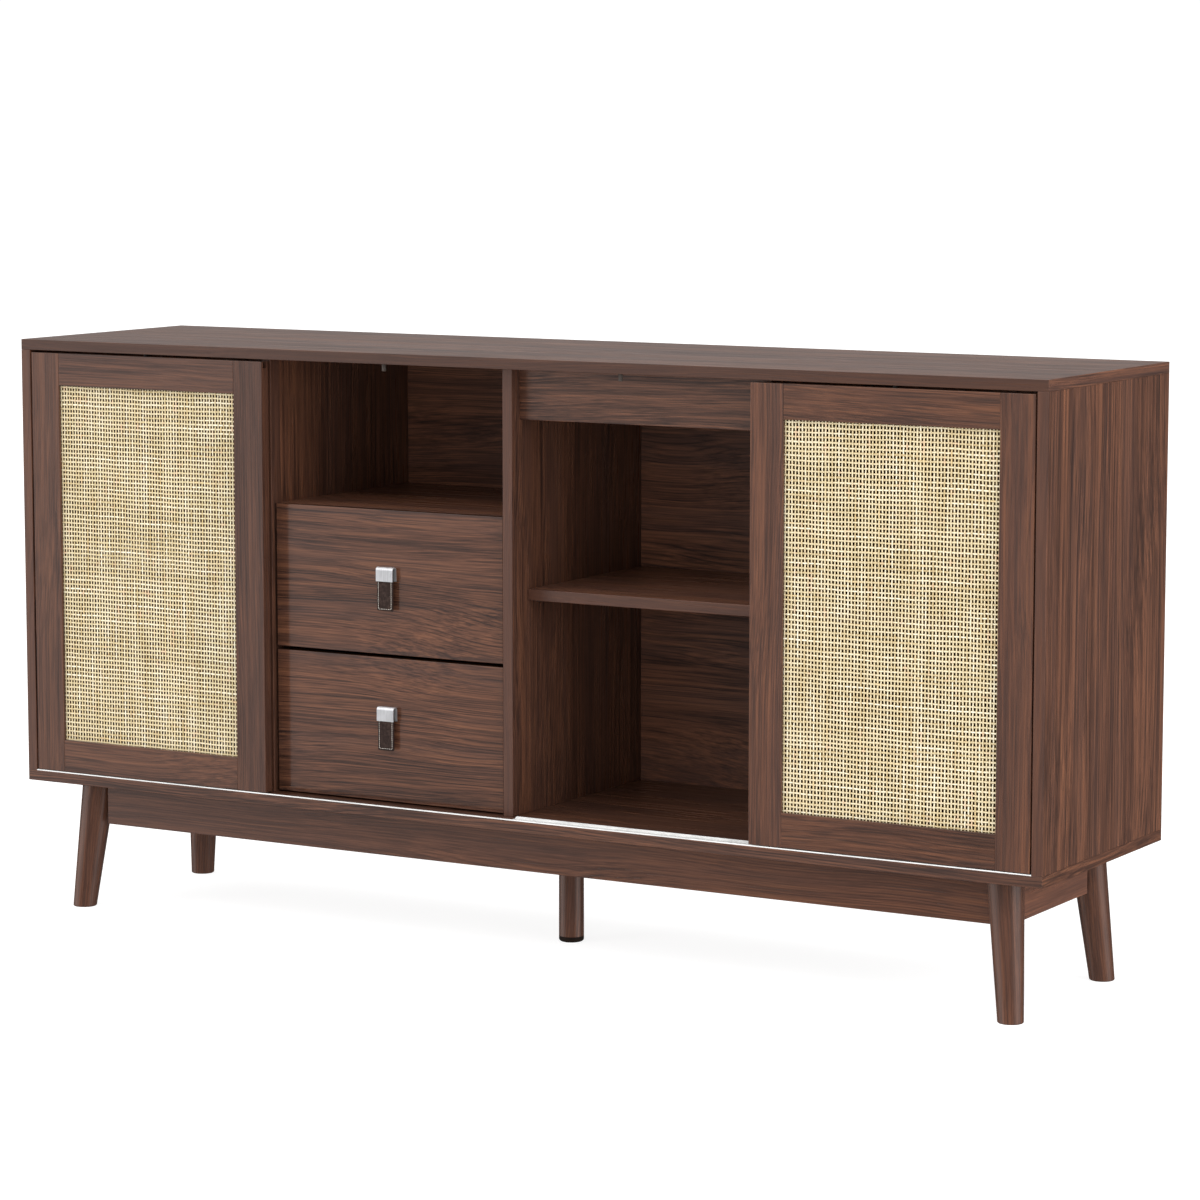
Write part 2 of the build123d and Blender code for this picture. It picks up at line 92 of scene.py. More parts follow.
# ---- node trees ---------------------------------------------------------------------------
class Nodes:
    """One node tree, with short calls for the nodes that the materials use."""

    def __init__(self, owner):
        owner.use_nodes = True
        self.owner = owner
        self.tree = owner.node_tree
        self.tree.nodes.clear()

    def put(self, kind, sockets=None, **settings):
        """Adds a node. sockets gives each input, by name or number, a value or another node's output."""
        node = self.tree.nodes.new(kind)
        for key, value in settings.items():
            setattr(node, key, value)
        for key, value in (sockets or {}).items():
            if isinstance(value, bpy.types.NodeSocket):
                self.tree.links.new(value, node.inputs[key])
            elif value is not None:
                node.inputs[key].default_value = value
        return node

    def math(self, operation, a, b=None, clamp=False):
        return self.put("ShaderNodeMath", {0: a, 1: b}, operation=operation, use_clamp=clamp).outputs[0]

    def dot(self, a, b):
        return self.put("ShaderNodeVectorMath", {0: a, 1: b}, operation="DOT_PRODUCT").outputs["Value"]

    def facing(self, axis):
        """How squarely a face looks along an axis, either way: 0 is edge on and 1 is square."""
        normal = self.put("ShaderNodeNewGeometry").outputs["Normal"]
        return self.math("ABSOLUTE", self.dot(normal, axis))

    def noise(self, place, stretch, detail=2.0, roughness=0.5):
        """Noise whose features are stretched by the three scales given, per metre."""
        scaled = self.put("ShaderNodeVectorMath", {0: place, 1: stretch}, operation="MULTIPLY")
        sockets = {"Vector": scaled.outputs["Vector"], "Scale": 1.0}
        sockets.update({"Detail": detail, "Roughness": roughness})
        return self.put("ShaderNodeTexNoise", sockets).outputs["Fac"]

    def remap(self, value, low, high, to_low=0.0, to_high=1.0, smooth=True):
        kind = "SMOOTHSTEP" if smooth else "LINEAR"
        sockets = {0: value, 1: low, 2: high, 3: to_low, 4: to_high}
        return self.put("ShaderNodeMapRange", sockets, interpolation_type=kind).outputs[0]

    def mix(self, factor, a, b, blend="MIX"):
        node = self.put("ShaderNodeMix", data_type="RGBA", blend_type=blend)
        for index, value in ((0, factor), (6, a), (7, b)):
            if isinstance(value, bpy.types.NodeSocket):
                self.tree.links.new(value, node.inputs[index])
            elif index:
                node.inputs[index].default_value = (*value, 1.0)
            else:
                node.inputs[index].default_value = value
        return node.outputs[2]

    def ramp(self, value, stops):
        node = self.put("ShaderNodeValToRGB", {0: value})
        stock = node.color_ramp.elements
        while len(stock) < len(stops):
            stock.new(1.0)
        for element, (position, colour) in zip(stock, stops):
            element.position = position
            element.color = (*colour, 1.0)
        return node.outputs[0]

    def position(self):
        return self.put("ShaderNodeTexCoord").outputs["Object"]

    def split(self, vector):
        return self.put("ShaderNodeSeparateXYZ", {0: vector}).outputs

    def join(self, x, y, z):
        return self.put("ShaderNodeCombineXYZ", {0: x, 1: y, 2: z}).outputs[0]

    def bump(self, height, strength, distance):
        sockets = {"Height": height, "Strength": strength, "Distance": distance}
        return self.put("ShaderNodeBump", sockets).outputs[0]

    def surface(self, **sockets):
        """The Principled shader of a finished material, its inputs named with _ for a space."""
        named = {key.replace("_", " "): value for key, value in sockets.items()}
        shader = self.put("ShaderNodeBsdfPrincipled", named)
        self.put("ShaderNodeOutputMaterial", {"Surface": shader.outputs[0]})
        return self.owner


def material_nodes(name):
    return Nodes(bpy.data.materials.new(name))


# ---- walnut -------------------------------------------------------------------------------
SQUARE_ON = 0.7              # a face looks along an axis when its normal is this close to it

# colours before a board's shade, which holds painted light and shade as well as the wood's tone
DARK_WOOD = (0.031, 0.0138, 0.0092)
BROWN_WOOD = (0.060, 0.0256, 0.0158)
RED_WOOD = (0.096, 0.0402, 0.0234)
PALE_WOOD = (0.140, 0.0580, 0.0310)
MEAN_WOOD = (0.076, 0.0325, 0.0208)
MAUVE = (0.056, 0.0305, 0.0250)
FLAME = (0.150, 0.063, 0.031)
GROWTH_LINE = (0.019, 0.0100, 0.0082)
PORE = (0.017, 0.0090, 0.0068)


def grain_place(m, grain, lean):
    """Position with its third coordinate along the grain. lean is the slope of a leaning grain in X and Y.
    On a board's ends the grain follows the edge, as edge banding does."""
    x, y, z = m.split(m.position())
    upright_x = m.math("ADD", x, m.math("MULTIPLY", z, lean[0]))
    upright_y = m.math("ADD", y, m.math("MULTIPLY", z, lean[1]))
    places = {"X": m.join(y, z, x), "Y": m.join(z, x, y), "Z": m.join(upright_x, upright_y, z)}
    banding = places["X" if grain == "Y" else "Y"]
    axis = [float(grain == letter) for letter in "XYZ"]
    end = m.math("GREATER_THAN", m.facing(axis), SQUARE_ON)
    return m.put("ShaderNodeMix", {0: end, 4: places[grain], 5: banding}, data_type="VECTOR").outputs[1]


def grain_bend(m, place, figure):
    """Sideways drift of the grain, in metres: a slow one that makes it arch, and a quick small one."""
    drift = m.math("MULTIPLY", m.noise(place, (6.5, 6.5, 1.5), detail=1.5), 0.055 * figure)
    wobble = m.math("MULTIPLY", m.noise(place, (30.0, 30.0, 4.0), detail=2.0), 0.0045)
    return m.math("ADD", drift, wobble)


def growth_lines(m, place, bend, streak, lines):
    """Strength of the dark growth lines, which fade in and out and are weaker on the pale streaks."""
    a, b, _ = m.split(place)
    across = m.math("ADD", m.math("ADD", a, b), m.math("MULTIPLY", bend, 2.0))
    wave = m.math("SINE", m.math("MULTIPLY", across, 2 * math.pi * lines))
    line = m.math("POWER", m.remap(wave, -1.0, 1.0, smooth=False), 5.5)
    fade = m.remap(m.noise(place, (14.0, 14.0, 2.2), detail=3.0), 0.32, 0.58, 0.12, 1.0)
    line = m.math("MULTIPLY", line, m.remap(streak, 0.36, 0.62, 1.0, 0.35))
    return m.math("MULTIPLY", m.math("MULTIPLY", line, fade), 0.90, clamp=True)


def summed(m, parts):
    """Sum of fields centred on zero, each with its weight, centred again on a half."""
    total = None
    for value, weight in parts:
        part = m.math("MULTIPLY", m.math("SUBTRACT", value, 0.5), weight)
        total = part if total is None else m.math("ADD", total, part)
    return m.math("ADD", total, 0.5)


def walnut(name, grain, shade=1.0, figure=1.0, roughness=0.30, lean=(0.0, 0.0), edge=1.0, bands=0.12,
           lines=225.0, calm=0.0):
    """Dark walnut: mauve-brown ground, orange streaks, dark growth lines that arch, and fine pores.

    figure is how much the grain arches, lines the count of growth lines per metre, bands the weight of the
    broad stripes, and calm evens the colour. shade scales every colour and edge multiplies the faces that
    look forward or back, which on a board are its calmer banded edges; both were set to match the light, so
    they hold painted light and shade as well as the wood's tone."""
    m = material_nodes(name)

    def shaded(colour):
        return tuple(shade * part for part in colour)

    # one drift bends the growth lines, the streaks and the pores together, so they flow or arch
    place = grain_place(m, grain, lean)
    bend = grain_bend(m, place, figure)
    a, b, along = m.split(place)
    flow = m.join(m.math("ADD", a, bend), m.math("ADD", b, bend), along)

    streak = m.noise(flow, (190.0, 190.0, 2.2), detail=3.0, roughness=0.55)
    fine = m.noise(flow, (430.0, 430.0, 4.0), detail=3.0, roughness=0.55)
    band = m.noise(flow, (24.0, 24.0, 0.5), detail=1.0)
    middling = m.noise(flow, (72.0, 72.0, 0.8), detail=3.0, roughness=0.6)
    fibre = m.noise(flow, (1000.0, 1000.0, 24.0), detail=2.0, roughness=0.6)
    pore = m.remap(m.noise(flow, (560.0, 560.0, 9.0), detail=1.0), 0.56, 0.64)
    line = growth_lines(m, place, bend, streak, lines)

    tone = summed(m, [(streak, 0.38), (band, 0.16), (middling, bands), (fine, 0.44), (fibre, 0.30)])
    colour = m.ramp(tone, [
        (0.38, shaded(DARK_WOOD)),
        (0.45, shaded(BROWN_WOOD)),
        (0.53, shaded(RED_WOOD)),
        (0.62, shaded(PALE_WOOD)),
    ])
    mauve = m.remap(m.noise(place, (19.0, 19.0, 1.2), detail=3.0), 0.46, 0.62, 0.0, 0.42)
    mauve = m.math("MULTIPLY", mauve, m.remap(fine, 0.35, 0.65, 1.0, 0.45))
    colour = m.mix(mauve, colour, shaded(MAUVE))
    flame = m.noise(flow, (240.0, 240.0, 3.5), detail=3.0, roughness=0.6)
    flame = m.math("MULTIPLY", m.remap(flame, 0.54, 0.68), m.remap(band, 0.44, 0.60, 0.12, 0.50))
    colour = m.mix(flame, colour, shaded(FLAME))
    colour = m.mix(line, colour, shaded(GROWTH_LINE))
    colour = m.mix(m.math("MULTIPLY", pore, 0.45), colour, shaded(PORE))
    colour = m.mix(calm, colour, shaded(MEAN_WOOD))
    if edge != 1.0:
        turned = m.math("GREATER_THAN", m.facing((0.0, 1.0, 0.0)), SQUARE_ON)
        colour = m.mix(m.math("MULTIPLY", turned, 0.62), colour, shaded(MEAN_WOOD))
        # painted shade: faces that look forward or back are multiplied by edge, darker than the board's
        # broad faces
        colour = m.mix(turned, colour, (edge, edge, edge), "MULTIPLY")

    rough = m.remap(streak, 0.3, 0.7, roughness + 0.05, roughness - 0.04)
    rough = m.math("ADD", rough, m.math("MULTIPLY", pore, 0.08))
    relief = m.math("SUBTRACT", m.math("MULTIPLY", fibre, 0.35), pore)
    normal = m.bump(relief, 0.18, 0.10 * MM)
    return m.surface(Base_Color=colour, Roughness=rough, Normal=normal, Specular_IOR_Level=0.5)


def cane_material(name, stretch_blotch, stretch_strand, stretch_fibre):
    """Split rattan, paler and darker from strand to strand, with knots, pink and honey stains, and a painted
    shade on the strand sides that face into the holes.
    """
    m = material_nodes(name)
    place = m.position()
    strand = m.noise(place, stretch_strand, detail=2.0, roughness=0.6)
    blotch = m.noise(place, stretch_blotch, detail=3.0, roughness=0.6)
    fibre = m.noise(place, stretch_fibre, detail=2.0)
    colour = m.ramp(strand, [
        (0.30, (0.45, 0.350, 0.190)),
        (0.42, (0.565, 0.480, 0.300)),
        (0.54, (0.635, 0.560, 0.385)),
        (0.70, (0.76, 0.720, 0.580)),
    ])
    honey = m.remap(blotch, 0.57, 0.72, 0.0, 0.42)
    colour = m.mix(honey, colour, (0.64, 0.43, 0.18))
    pink = m.remap(m.noise(place, (95.0, 95.0, 60.0), detail=2.0), 0.60, 0.76, 0.0, 0.6)
    colour = m.mix(pink, colour, (0.66, 0.42, 0.29))
    knot = m.remap(m.noise(place, (260.0, 260.0, 210.0), detail=1.0), 0.73, 0.80, 0.0, 0.8)
    colour = m.mix(knot, colour, (0.30, 0.15, 0.06))
    colour = m.mix(m.remap(fibre, 0.3, 0.7, 0.22, 0.0), colour, (0.52, 0.38, 0.18))
    # painted shade: the strand sides that face into the holes are painted dark and warm, standing in for the
    # shade there
    hole_side_shade = m.remap(m.facing((0.0, 1.0, 0.0)), 0.35, 0.90, 0.85, 0.0)
    colour = m.mix(hole_side_shade, colour, (0.36, 0.22, 0.045))
    rough = m.remap(fibre, 0.3, 0.7, 0.62, 0.42)
    normal = m.bump(fibre, 0.35, 0.08 * MM)
    return m.surface(Base_Color=colour, Roughness=rough, Normal=normal)


# ---- metals, leather and plastics ---------------------------------------------------------
def brushed(name, colour, stretch, roughness, metallic=1.0, painted_shade_beyond=None):
    """Fine-brushed metal or satin paint. Past the given distance from the object's middle in X it is painted
    near black, a painted shade for the pins that the closed doors hide.
    """
    m = material_nodes(name)
    place = m.position()
    hair = m.noise(place, stretch, detail=3.0, roughness=0.7)
    cloud = m.noise(place, (60.0, 60.0, 60.0), detail=2.0)
    dark = tuple(0.78 * c for c in colour)
    tone = m.math("ADD", m.math("MULTIPLY", hair, 0.6), m.math("MULTIPLY", cloud, 0.4))
    finish = m.mix(m.remap(tone, 0.35, 0.65), dark, colour)
    # painted shade: beyond this distance the pins behind the closed doors are painted near black, standing
    # in for their shadow
    if painted_shade_beyond is not None:
        reach = m.math("ABSOLUTE", m.split(place)[0])
        finish = m.mix(m.math("GREATER_THAN", reach, painted_shade_beyond), finish, (0.012, 0.009, 0.008))
    rough = m.remap(hair, 0.3, 0.7, roughness + 0.08, roughness - 0.06)
    normal = m.bump(hair, 0.12, 0.05 * MM)
    return m.surface(Base_Color=finish, Roughness=rough, Metallic=metallic, Normal=normal)


def leather(name):
    """Dark pebbled leather, a little paler on the high points."""
    m = material_nodes(name)
    place = m.position()
    cells = m.put("ShaderNodeTexVoronoi", {"Vector": place, "Scale": 950.0}, feature="DISTANCE_TO_EDGE")
    pebble = m.remap(cells.outputs["Distance"], 0.0, 0.22)
    mottle = m.noise(place, (240.0, 240.0, 240.0), detail=4.0, roughness=0.65)
    colour = m.ramp(mottle, [
        (0.32, (0.015, 0.0085, 0.0070)),
        (0.50, (0.029, 0.0165, 0.0135)),
        (0.70, (0.058, 0.036, 0.029)),
    ])
    colour = m.mix(m.remap(pebble, 0.0, 1.0, 0.55, 0.0), colour, (0.014, 0.010, 0.009))
    rough = m.remap(pebble, 0.0, 1.0, 0.80, 0.58)
    normal = m.bump(pebble, 0.45, 0.12 * MM)
    return m.surface(Base_Color=colour, Roughness=rough, Normal=normal, Specular_IOR_Level=0.14)


def thread(name):
    """Pale twisted thread, soiled here and there."""
    m = material_nodes(name)
    place = m.position()
    sockets = {"Vector": place, "Scale": 520.0, "Distortion": 1.5}
    strands = m.put("ShaderNodeTexWave", sockets, bands_direction="DIAGONAL").outputs["Fac"]
    soil = m.noise(place, (400.0, 400.0, 400.0), detail=2.0)
    colour = m.mix(m.remap(strands, 0.1, 0.9), (0.62, 0.57, 0.50), (0.92, 0.88, 0.80))
    colour = m.mix(m.remap(soil, 0.4, 0.7, 0.0, 0.4), colour, (0.40, 0.33, 0.26))
    normal = m.bump(strands, 0.5, 0.06 * MM)
    return m.surface(Base_Color=colour, Roughness=0.8, Normal=normal)


def moulded(name, colour, roughness, specular=0.5):
    """Moulded plastic with a faint orange-peel skin and slight clouding."""
    m = material_nodes(name)
    place = m.position()
    cloud = m.noise(place, (180.0, 180.0, 180.0), detail=3.0)
    skin = m.noise(place, (1600.0, 1600.0, 1600.0), detail=1.0)
    dark = tuple(0.80 * c for c in colour)
    finish = m.mix(m.remap(cloud, 0.35, 0.65), dark, colour)
    rough = m.remap(cloud, 0.3, 0.7, roughness + 0.07, roughness - 0.05)
    normal = m.bump(skin, 0.15, 0.05 * MM)
    return m.surface(Base_Color=finish, Roughness=rough, Normal=normal, Specular_IOR_Level=specular)


# ---- finishes for the CAD nodes -----------------------------------------------------------
def give(node, material):
    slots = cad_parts[node].data.materials
    slots.clear()
    slots.append(material)


LEG_SPLAY = 17.5             # mm, from a leg's top to its foot, each way
LEG_HEIGHT = 187.0
LEG_LEAN = LEG_SPLAY / LEG_HEIGHT
# pins beyond this distance are painted near black: a painted shade for the shadow of the closed doors
CLOSED_DOOR_X = 0.45         # m, the pins beyond this stay behind the closed doors

# Each board's shade and edge were set to match how it looks under the light, so they hold painted light and
# shade besides the wood's tone: the top, shelves, back boards and side aprons painted lighter, the drawer
# fronts and door rails a little darker, and the faces that look forward on the top, shelves, sides and
# dividers darker still.
WOOD_X = walnut("walnut_grain_x", "X")
WOOD_Z = walnut("walnut_grain_z", "Z", edge=0.92)
# painted light: the side aprons are painted lighter than the other boards, standing in for the sheen they
# catch
WOOD_Y = walnut("walnut_grain_y", "Y", shade=1.55, calm=0.35)
WOOD_APRON = walnut("walnut_apron", "X", calm=0.35, roughness=0.16)
WOOD_TOP = walnut("walnut_top", "X", shade=1.25, edge=0.55)
WOOD_SHELF = walnut("walnut_shelf", "X", shade=1.85, edge=0.47)
WOOD_SIDE = walnut("walnut_side", "Z", shade=1.06, edge=0.90, bands=0.42, lines=120.0)
WOOD_RAIL = walnut("walnut_door_rail", "X", shade=0.92, roughness=0.24, calm=0.15)
# painted shade and light: the left door's stiles are painted darker than the right door's, the same wood
# shaded to match how the light falls across the front
WOOD_STILE_LEFT = walnut("walnut_left_door_stile", "Z", shade=0.86, roughness=0.24, calm=0.25)
WOOD_STILE_RIGHT = walnut("walnut_right_door_stile", "Z", shade=1.04, roughness=0.24, calm=0.25)
WOOD_FRONT = walnut("walnut_drawer_front", "X", shade=0.92, figure=1.3, roughness=0.10)
WOOD_BACK = walnut("walnut_back_board", "X", shade=1.50, figure=1.6, roughness=0.45)
WOOD_DRAWER = walnut("walnut_drawer_box", "Y", shade=1.05, figure=0.6)
WOOD_DRAWER_END = walnut("walnut_drawer_end", "X", shade=1.05, figure=0.6)

BOARDS = (
    (WOOD_TOP, "top_panel"),
    (WOOD_SHELF, "drawer_bay_shelf open_bay_shelf shelf_left shelf_right"),
    (WOOD_X, "bottom_panel fascia_rail"),
    (WOOD_APRON, "apron_front apron_rear"),
    (WOOD_Y, "apron_left apron_right"),
    (WOOD_SIDE, "side_panel_left side_panel_right"),
    (WOOD_Z, "divider_left divider_center divider_right"),
    (WOOD_BACK, "back_panel_left back_panel_right"),
)
for wood, nodes in BOARDS:
    for node in nodes.split():
        give(node, wood)
for half, wood in (("left", WOOD_STILE_LEFT), ("right", WOOD_STILE_RIGHT)):
    for side in ("left", "right"):
        give(f"door_{half}_stile_{side}", wood)
    for edge in ("top", "bottom"):
        give(f"door_{half}_rail_{edge}", WOOD_RAIL)
    give(f"door_{half}_cane_beads", WOOD_RAIL)

NYLON = moulded("nylon_smoked", (0.070, 0.050, 0.044), 0.36)
# the outer pins get a painted shade, near black, through the last argument
PIN = brushed("pin_bronzed_steel", (0.055, 0.042, 0.035), (900.0, 900.0, 60.0), 0.60, metallic=0.1,
              painted_shade_beyond=CLOSED_DOOR_X)
STEEL = brushed("slide_zinc", (0.62, 0.63, 0.65), (900.0, 14.0, 900.0), 0.34)
ZINC = brushed("cam_zinc", (0.60, 0.59, 0.57), (500.0, 500.0, 500.0), 0.38)
SATIN = brushed("track_satin_white", (0.72, 0.72, 0.71), (8.0, 700.0, 700.0), 0.38, metallic=0.0)
CLIP = brushed("clip_brushed_silver", (0.80, 0.80, 0.82), (1200.0, 30.0, 30.0), 0.50, metallic=0.85)
CAP = moulded("foot_cap_dark", (0.013, 0.0075, 0.0055), 0.60, specular=0.12)

for node in ("track_front_lip", "track_channel"):
    give(node, SATIN)
give("door_guide_pins", PIN)
for node in ("door_left_skids", "door_right_skids"):
    give(node, NYLON)
for node in ("shelf_pins", "cam_locks"):
    give(node, ZINC)
for node in ("slide_rails", "drawer_upper_runners", "drawer_lower_runners"):
    give(node, STEEL)
give("middle_leg_cap", CAP)
give("middle_leg", walnut("walnut_middle_leg", "Z", shade=1.2, figure=0.7, roughness=0.20, calm=0.4))
for end, side in (("left", -1), ("right", 1)):
    for row, way in (("front", -1), ("rear", 1)):
        lean = (side * LEG_LEAN, way * LEG_LEAN)
        wood = walnut(f"walnut_leg_{row}_{end}", "Z", shade=0.98, figure=0.7, roughness=0.25,
                      lean=lean, bands=0.0, calm=0.4)
        give(f"leg_{row}_{end}", wood)
for level in ("upper", "lower"):
    give(f"drawer_{level}_front", WOOD_FRONT)
    give(f"drawer_{level}_side_left", WOOD_DRAWER)
    give(f"drawer_{level}_side_right", WOOD_DRAWER)
    give(f"drawer_{level}_back", WOOD_DRAWER_END)
    give(f"drawer_{level}_bottom", WOOD_DRAWER_END)
    give(f"drawer_{level}_handle_clip", CLIP)


# ---- meshes -------------------------------------------------------------------------------
def mesh_object(name, points, faces, material):
    mesh = bpy.data.meshes.new(name)
    mesh.from_pydata(points, [], faces)
    mesh.validate()
    mesh.materials.append(material)
    mesh.shade_smooth()
    piece = bpy.data.objects.new(name, mesh)
    bpy.context.scene.collection.objects.link(piece)
    return piece


STRAND_SECTION = [(-1.0, 0.0), (-0.55, -1.0), (0.55, -1.0), (1.0, 0.0), (0.55, 1.0), (-0.55, 1.0)]


def add_strand(points, faces, line, half_width, across):
    """One flat six-sided strand along line. Its width lies along X for across 0 and along Z for across 2."""
    count = len(STRAND_SECTION)
    first = len(points)
    for place in line:
        for wide, deep in STRAND_SECTION:
            corner = [place[0], place[1] + deep * STRAND_HALF_THICK, place[2]]
            corner[across] += wide * half_width
            points.append(corner)
    for ring in range(len(line) - 1):
        start = first + ring * count
        for k in range(count):
            nxt = (k + 1) % count
            quad = (start + k, start + nxt, start + count + nxt, start + count + k)
            faces.append(quad if across == 0 else quad[::-1])
    last = first + (len(line) - 1) * count
    near = tuple(range(first, first + count))
    far = tuple(range(last, last + count))
    faces.append(near[::-1] if across == 0 else near)
    faces.append(far if across == 0 else far[::-1])


def row_places(low, high, draw):
    """Heights of the rows: the pitch swells and shrinks slowly, with a little chance in each row."""
    rows = []
    z = low + WEFT_PITCH / 2
    phase = draw.uniform(0, 2 * math.pi)
    while z < high - WEFT_PITCH / 4:
        slow = ROW_WAVE * math.sin(2 * math.pi * z / ROW_WAVE_LENGTH + phase)
        quick = 0.35 * ROW_WAVE * math.sin(2 * math.pi * z / (0.47 * ROW_WAVE_LENGTH) + 2 * phase)
        rows.append(z + slow + quick + draw.uniform(-0.2, 0.2) * MM)
        z += WEFT_PITCH
    return rows


def cane_cloth(door, seed):
    """The woven cane of one door, warps upright and wefts level, in place of its CAD sheet."""
    draw = random.Random(seed)
    low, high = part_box(f"{door}_cane")
    y = (low[1] + high[1]) / 2
    warps = int((high[0] - low[0]) / WARP_PITCH)
    spare = (high[0] - low[0] - (warps - 1) * WARP_PITCH) / 2
    columns = [low[0] + spare + k * WARP_PITCH + draw.uniform(-0.12, 0.12) * MM for k in range(warps)]
    rows = row_places(low[2], high[2], draw)
    bow = [draw.uniform(0, 2 * math.pi) for _ in range(3)]

    def height(row, x):
        """Height of a row at x: neighbouring rows wander together."""
        z = rows[row]
        long_bow = math.sin(2 * math.pi * x / 0.31 + bow[0] + 9.0 * z)
        short_bow = math.sin(2 * math.pi * x / 0.083 + bow[1] + 31.0 * z)
        fine = math.sin(2 * math.pi * x / 0.029 + bow[2] + 170.0 * z)
        return z + ROW_BOW * (long_bow + 0.55 * short_bow + 0.25 * fine)

    points, faces = [], []
    for k, x in enumerate(columns):
        line = [(x, y, low[2])]
        for row in range(len(rows)):
            z = height(row, x)
            over = WEAVE_RISE * (-1) ** (row + k)
            if row:
                sway = draw.uniform(-0.18, 0.18) * MM
                line.append((x + sway, y, (z + line[-1][2]) / 2))
            line.append((x, y + over, z))
        line.append((x, y, high[2]))
        add_strand(points, faces, line, WARP_HALF_WIDTH * draw.uniform(0.9, 1.1), 0)
    warp = mesh_object(f"{door}_cane_warp", points, faces, CANE_WARP)

    points, faces = [], []
    for row in range(len(rows)):
        line = [(low[0], y, height(row, low[0]))]
        for k, x in enumerate(columns):
            over = -WEAVE_RISE * (-1) ** (row + k)
            if k:
                middle = (x + line[-1][0]) / 2
                sway = draw.uniform(-0.15, 0.15) * MM
                line.append((middle, y, height(row, middle) + sway))
            line.append((x, y + over, height(row, x)))
        line.append((high[0], y, height(row, high[0])))
        add_strand(points, faces, line, WEFT_HALF_WIDTH * draw.uniform(0.88, 1.12), 2)
    weft = mesh_object(f"{door}_cane_weft", points, faces, CANE_WEFT)

    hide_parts(f"{door}_cane")
    for piece in (warp, weft):
        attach(piece, door)


CANE_WARP = cane_material("cane_warp", (130.0, 130.0, 26.0), (215.0, 40.0, 9.0), (2600.0, 2600.0, 60.0))
CANE_WEFT = cane_material("cane_weft", (26.0, 130.0, 130.0), (9.0, 40.0, 165.0), (60.0, 2600.0, 2600.0))
cane_cloth("door_left", seed=11)
cane_cloth("door_right", seed=29)


# ---- leather tabs with stitching ----------------------------------------------------------
def tab_outline(low, high, inset, arc=6):
    """The tab's outline seen from the front, clockwise, square at the top and rounded at its foot."""
    x0, x1 = low[0] + inset, high[0] - inset
    z0, z1 = low[2] + inset, high[2] - inset
    r = max(TAB_CORNER - 0.6 * inset, 0.3 * MM)
    outline = [(x0, z1), (x1, z1)]
    for centre_x, start in ((x1 - r, 0.0), (x0 + r, -math.pi / 2)):
        for k in range(arc + 1):
            turn = start - k * math.pi / 2 / arc
            outline.append((centre_x + r * math.cos(turn), z0 + r + r * math.sin(turn)))
    return outline


# distance in from the strap's edge in mm, and share of its half thickness there
STRAP_RINGS = [
    (0.00, 0.30), (0.18, 0.66), (0.55, 0.90), (1.20, 0.98), (1.90, 0.90),
    (2.40, 0.82), (2.90, 0.90), (3.60, 0.99), (5.50, 1.00),
]


def leather_strap(name, low, high):
    """A padded strap: rounded edge, a sewn-down channel under the stitches, and a full middle."""
    half = (high[1] - low[1]) / 2
    middle = (high[1] + low[1]) / 2
    points, faces = [], []
    loops = []
    for side in (1, -1):
        for inset, height in (STRAP_RINGS[::-1] if side > 0 else STRAP_RINGS):
            loop = []
            for x, z in tab_outline(low, high, inset * MM):
                loop.append(len(points))
                points.append((x, middle + side * height * half, z))
            loops.append(loop)
    count = len(loops[0])
    for near, far in zip(loops, loops[1:]):
        for k in range(count):
            nxt = (k + 1) % count
            faces.append((near[k], far[k], far[nxt], near[nxt]))
    faces.append(tuple(loops[0]))
    faces.append(tuple(loops[-1][::-1]))
    return mesh_object(name, points, faces, LEATHER)


def stitch_places(low, high):
    """Middle and direction of each stitch: down the left side, along the foot and up the right side."""
    x0, x1 = low[0] + STITCH_INSET, high[0] - STITCH_INSET
    z0, z1 = low[2] + STITCH_INSET, high[2] - STITCH_STOP
    corners = [(x0, z1), (x0, z0), (x1, z0), (x1, z1)]
    places = []
    for (ax, az), (bx, bz) in zip(corners, corners[1:]):
        length = math.hypot(bx - ax, bz - az)
        count = round(length / STITCH_PITCH)
        for k in range(count):
            t = (k + 0.5) / count
            places.append((ax + t * (bx - ax), az + t * (bz - az), math.atan2(bz - az, bx - ax)))
    return places


def stitching(name, low, high):
    """Every stitch is a short rounded thread that sinks into the leather at both ends."""
    points, faces = [], []
    rings = 7
    sides = 8
    surface = low[1] + STITCH_SINK * (high[1] - low[1])
    for x, z, turn in stitch_places(low, high):
        first = len(points)
        for ring in range(rings):
            t = ring / (rings - 1) * 2 - 1
            radius = STITCH_RADIUS * math.sqrt(max(1 - 0.86 * t ** 4, 0.02))
            along = t * STITCH_LENGTH / 2
            depth = 0.45 * STITCH_RADIUS * t * t
            for k in range(sides):
                angle = 2 * math.pi * k / sides
                side_way = radius * math.cos(angle)
                px = x + along * math.cos(turn) - side_way * math.sin(turn)
                pz = z + along * math.sin(turn) + side_way * math.cos(turn)
                points.append((px, surface + depth + 0.8 * radius * math.sin(angle), pz))
        for ring in range(rings - 1):
            start = first + ring * sides
            for k in range(sides):
                nxt = (k + 1) % sides
                faces.append((start + k, start + sides + k, start + sides + nxt, start + nxt))
        faces.append(tuple(range(first, first + sides)))
        last = first + (rings - 1) * sides
        faces.append(tuple(range(last + sides - 1, last - 1, -1)))
    return mesh_object(name, points, faces, THREAD)


